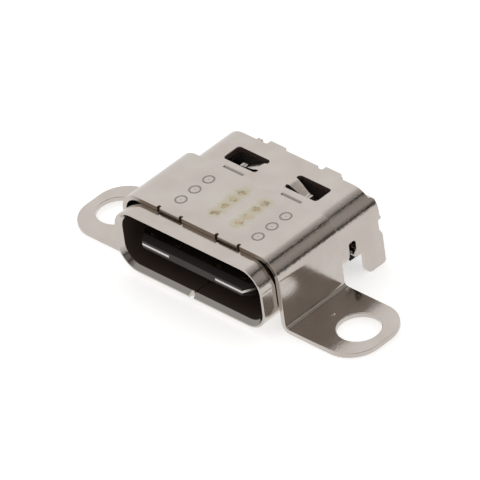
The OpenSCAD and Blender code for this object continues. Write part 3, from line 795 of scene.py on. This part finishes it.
def studio_panel():
    """A bent panel over the part's right side, seen only in reflections."""
    first, last = PANEL_GREYS[0][0], PANEL_GREYS[-1][0]
    bpy.ops.mesh.primitive_grid_add(x_subdivisions=PANEL_STEPS, y_subdivisions=1, size=1)
    panel = bpy.context.object
    panel.name = "studio_panel"
    for vertex in panel.data.vertices:
        angle = math.radians(first + (last - first) * (vertex.co.x + 0.5))
        along = PANEL_LENGTH * vertex.co.y
        vertex.co = (PANEL_RADIUS * math.cos(angle), along, PANEL_RADIUS * math.sin(angle))
    panel.data.materials.append(panel_material())
    return panel


class SOCKET_OT_stage(bpy.types.Operator):
    """Lay the floor, hang the lamps and set the camera"""

    bl_idname = "socket.stage"
    bl_label = "Stage"

    def execute(self, context):
        scene = context.scene
        settings = scene.socket_stage
        deselect()
        # The part rests on the front edges of its ears and on its leg tips, so the floor leans
        lean = math.atan2(LEG_TIP - EAR_UNDERSIDE, LEG_TIP_Y - STRAP_FRONT)
        ears = (0, STRAP_FRONT * MM, EAR_UNDERSIDE * MM)
        bpy.ops.mesh.primitive_plane_add(size=FLOOR_SIZE, location=ears, rotation=(lean, 0, 0))
        floor = context.object
        floor.name = "floor"
        floor.data.materials.append(floor_material(settings))
        panel = studio_panel()
        panel.visible_camera = False
        panel.visible_diffuse = False
        panel.visible_shadow = False
        panel.visible_transmission = False

        bpy.ops.object.light_add(type="AREA", location=KEY_PLACE)
        key = context.object
        key.name = "key_softbox"
        key.data.shape = "SQUARE"
        key.data.size = KEY_SIZE
        key.data.energy = settings.key
        key.visible_camera = False
        key.visible_glossy = False
        key.rotation_euler = (-key.location).to_track_quat("-Z", "Y").to_euler()

        world = bpy.data.worlds.new("white_room")
        scene.world = world
        world.use_nodes = True
        tree = world.node_tree
        tree.nodes.clear()
        path = add(tree, "ShaderNodeLightPath").outputs
        seen = add(tree, MATH, [path["Is Camera Ray"], path["Is Glossy Ray"]], operation="MAXIMUM")
        seen = add(tree, MATH, [seen, path["Is Transmission Ray"]], operation="MAXIMUM")
        strength = add(tree, RANGE, {"Value": seen, "To Min": settings.ambient})
        room = add(tree, "ShaderNodeBackground", {"Color": (1, 1, 1, 1), "Strength": strength})
        add(tree, "ShaderNodeOutputWorld", [room])

        data = bpy.data.cameras.new("camera")
        data.sensor_width = 36
        data.lens = CAMERA_LENS
        camera = bpy.data.objects.new("camera", data)
        scene.collection.objects.link(camera)
        azimuth, elevation, roll = (math.radians(a) for a in CAMERA_TURN)
        back = Vector(
            (
                math.sin(azimuth) * math.cos(elevation),
                -math.cos(azimuth) * math.cos(elevation),
                math.sin(elevation),
            )
        )
        level = Vector((math.cos(azimuth), math.sin(azimuth), 0))
        upright = back.cross(level)
        right = math.cos(roll) * level - math.sin(roll) * upright
        up = math.sin(roll) * level + math.cos(roll) * upright
        turned = Matrix((right, up, back)).transposed()
        place = turned @ Vector(CAMERA_PLACE) * MM
        camera.matrix_world = Matrix.Translation(place) @ turned.to_4x4()
        data.clip_start, data.clip_end = 0.05, 20
        scene.camera = camera

        scene.view_settings.view_transform = "Standard"
        return {"FINISHED"}


# ---------- add-on ----------


class SOCKET_PT_panel(bpy.types.Panel):
    """Lists the steps in the order they run"""

    bl_idname = "SOCKET_PT_panel"
    bl_label = "Plug socket"
    bl_space_type = "VIEW_3D"
    bl_region_type = "UI"
    bl_category = "Socket"

    def draw(self, context):
        for operator in OPERATORS:
            self.layout.operator(operator.bl_idname)
        for name, group in SETTINGS.items():
            box = self.layout.box()
            for key in group.__annotations__:
                box.prop(getattr(context.scene, name), key)


SETTINGS = {
    "socket_sheet": SheetSettings,
    "socket_marks": MarkSettings,
    "socket_moulding": MouldingSettings,
    "socket_contacts": ContactSettings,
    "socket_stage": StageSettings,
}
OPERATORS = (
    SOCKET_OT_shell,
    SOCKET_OT_strap,
    SOCKET_OT_insulators,
    SOCKET_OT_plates,
    SOCKET_OT_contacts,
    SOCKET_OT_stage,
)


def register():
    for item in (*SETTINGS.values(), *OPERATORS, SOCKET_PT_panel):
        bpy.utils.register_class(item)
    for name, group in SETTINGS.items():
        setattr(bpy.types.Scene, name, bpy.props.PointerProperty(type=group))


def unregister():
    for name in SETTINGS:
        delattr(bpy.types.Scene, name)
    for item in reversed((*SETTINGS.values(), *OPERATORS, SOCKET_PT_panel)):
        bpy.utils.unregister_class(item)


def main():
    register()
    bpy.ops.socket.shell()
    bpy.ops.socket.strap()
    bpy.ops.socket.insulators()
    bpy.ops.socket.plates()
    bpy.ops.socket.contacts()
    bpy.ops.socket.stage()
    bpy.context.view_layer.update()


if __name__ == "__main__":
    main()
